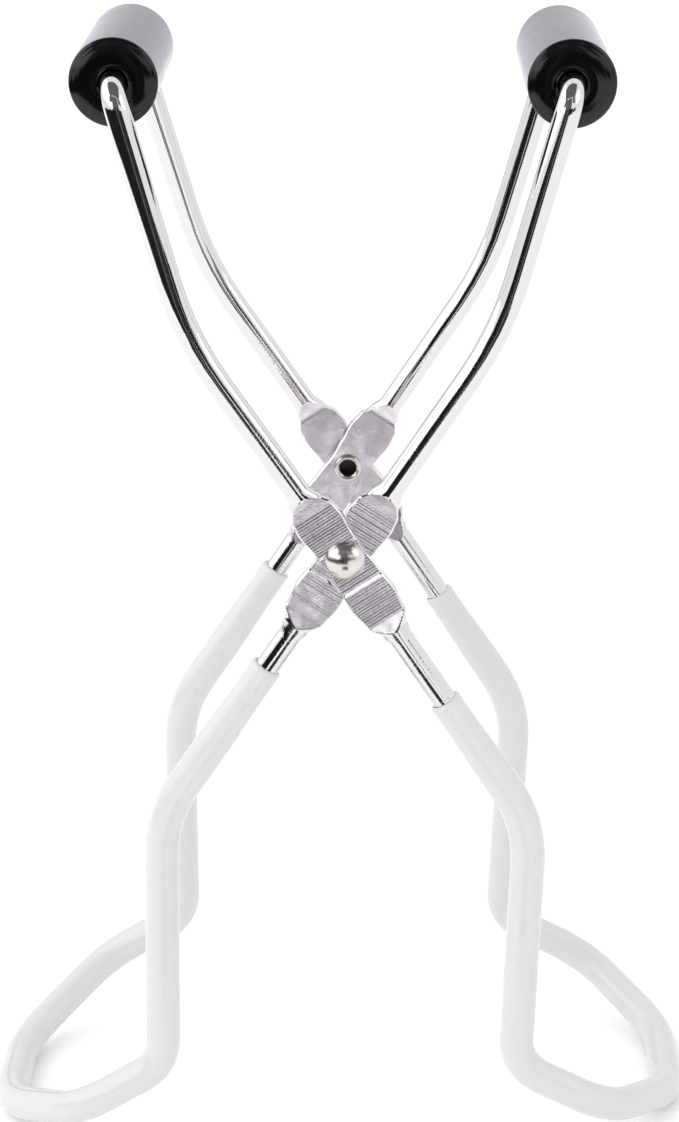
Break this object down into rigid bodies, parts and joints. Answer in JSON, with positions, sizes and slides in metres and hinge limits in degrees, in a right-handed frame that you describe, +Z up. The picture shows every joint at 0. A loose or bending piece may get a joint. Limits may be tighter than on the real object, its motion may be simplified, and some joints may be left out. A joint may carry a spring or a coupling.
{
  "type": "jar lifter",
  "caption": "Scissor-action jar lifter: two crossed, nested wire frames riveted at the pivots, with dipped handle loops and turning jaw rollers.",
  "frame": {"origin": "on the floor, in the middle of the lifter's width and depth, with the lifter standing open on its two handle loops", "axes": "+X towards the jaw of the inner frame, +Y from the front arms to the rear arms along the pivot axis, +Z up from the handles to the jaws"},
  "size_m": [0.1394, 0.0682, 0.2174],
  "materials": {
    "chromed_wire": "bright chrome plate on drawn steel wire, with duller die-marked flats",
    "white_grip": "glossy dipped soft vinyl",
    "steel_rivet": "plated semi-tubular rivet, softly polished",
    "black_roller": "smooth moulded black plastic"
  },
  "bodies": {
    "outer_frame": {"outer_wire_frame": "chromed_wire", "outer_handle_grip": "white_grip", "front_rivet": "steel_rivet", "rear_rivet": "steel_rivet"},
    "inner_frame": {"inner_wire_frame": "chromed_wire", "inner_handle_grip": "white_grip"},
    "outer_roller": {"outer_jaw_roller": "black_roller"},
    "inner_roller": {"inner_jaw_roller": "black_roller"}
  },
  "joints": [
    {"name": "rivet_pivot", "type": "hinge", "parent": "outer_frame", "child": "inner_frame", "pos_m": [0.00483, 0, 0.124], "axis": [0, 1, 0], "range_deg": [-33.5, 76]},
    {"name": "outer_roller_spin", "type": "hinge", "parent": "outer_frame", "child": "outer_roller", "pos_m": [-0.0331, 0, 0.20955], "axis": [0, 1, 0], "continuous": true},
    {"name": "inner_roller_spin", "type": "hinge", "parent": "inner_frame", "child": "inner_roller", "pos_m": [0.04633, 0, 0.20718], "axis": [0, 1, 0], "continuous": true}
  ]
}
